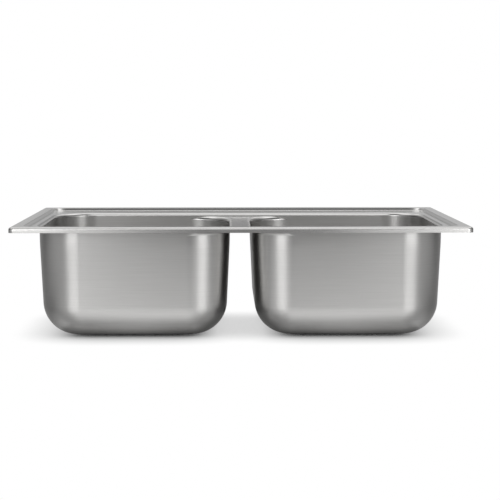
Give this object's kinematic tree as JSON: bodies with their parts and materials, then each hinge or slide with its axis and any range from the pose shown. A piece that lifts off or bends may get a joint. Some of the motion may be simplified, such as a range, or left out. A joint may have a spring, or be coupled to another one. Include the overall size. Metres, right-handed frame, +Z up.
{
  "type": "double bowl kitchen sink",
  "caption": "Drop-in stainless steel kitchen sink with two deep rounded bowls in one raised rim, drain strainers and press-down stoppers.",
  "frame": {"origin": "under the middle of the rim, at the level of the surface the sink stands on", "axes": "+X along the rim to the right, +Y to the rear ledge, +Z up out of the bowls"},
  "size_m": [0.838, 0.559, 0.2135],
  "materials": {
    "satin_steel": "satin",
    "rail_steel": "mill",
    "bright_steel": "polished",
    "black_rubber": "matt",
    "grey_pad": "matt"
  },
  "bodies": {
    "sink": {"sink_deck": "satin_steel", "left_bowl": "satin_steel", "right_bowl": "satin_steel", "front_rail": "rail_steel", "rear_rail": "rail_steel", "left_rail": "rail_steel", "right_rail": "rail_steel", "rim_seal": "black_rubber", "left_sound_pad": "grey_pad", "right_sound_pad": "grey_pad"},
    "left_strainer": {"left_strainer_ring": "black_rubber", "left_strainer_plate": "bright_steel", "left_post": "bright_steel"},
    "left_stopper": {"left_stopper_seal": "black_rubber", "left_stopper_cap": "bright_steel", "left_knob": "bright_steel", "left_grip_ring": "black_rubber"},
    "right_strainer": {"right_strainer_ring": "black_rubber", "right_strainer_plate": "bright_steel", "right_post": "bright_steel"},
    "right_stopper": {"right_stopper_seal": "black_rubber", "right_stopper_cap": "bright_steel", "right_knob": "bright_steel", "right_grip_ring": "black_rubber"}
  },
  "joints": [
    {"name": "left_strainer_lift", "type": "slide", "parent": "sink", "child": "left_strainer", "axis": [0, 0, 1], "range_m": [0, 0.218]},
    {"name": "left_stopper_press", "type": "slide", "parent": "left_strainer", "child": "left_stopper", "axis": [0, 0, 1], "range_m": [-0.007, 0]},
    {"name": "right_strainer_lift", "type": "slide", "parent": "sink", "child": "right_strainer", "axis": [0, 0, 1], "range_m": [0, 0.218]},
    {"name": "right_stopper_press", "type": "slide", "parent": "right_strainer", "child": "right_stopper", "axis": [0, 0, 1], "range_m": [-0.007, 0]}
  ]
}
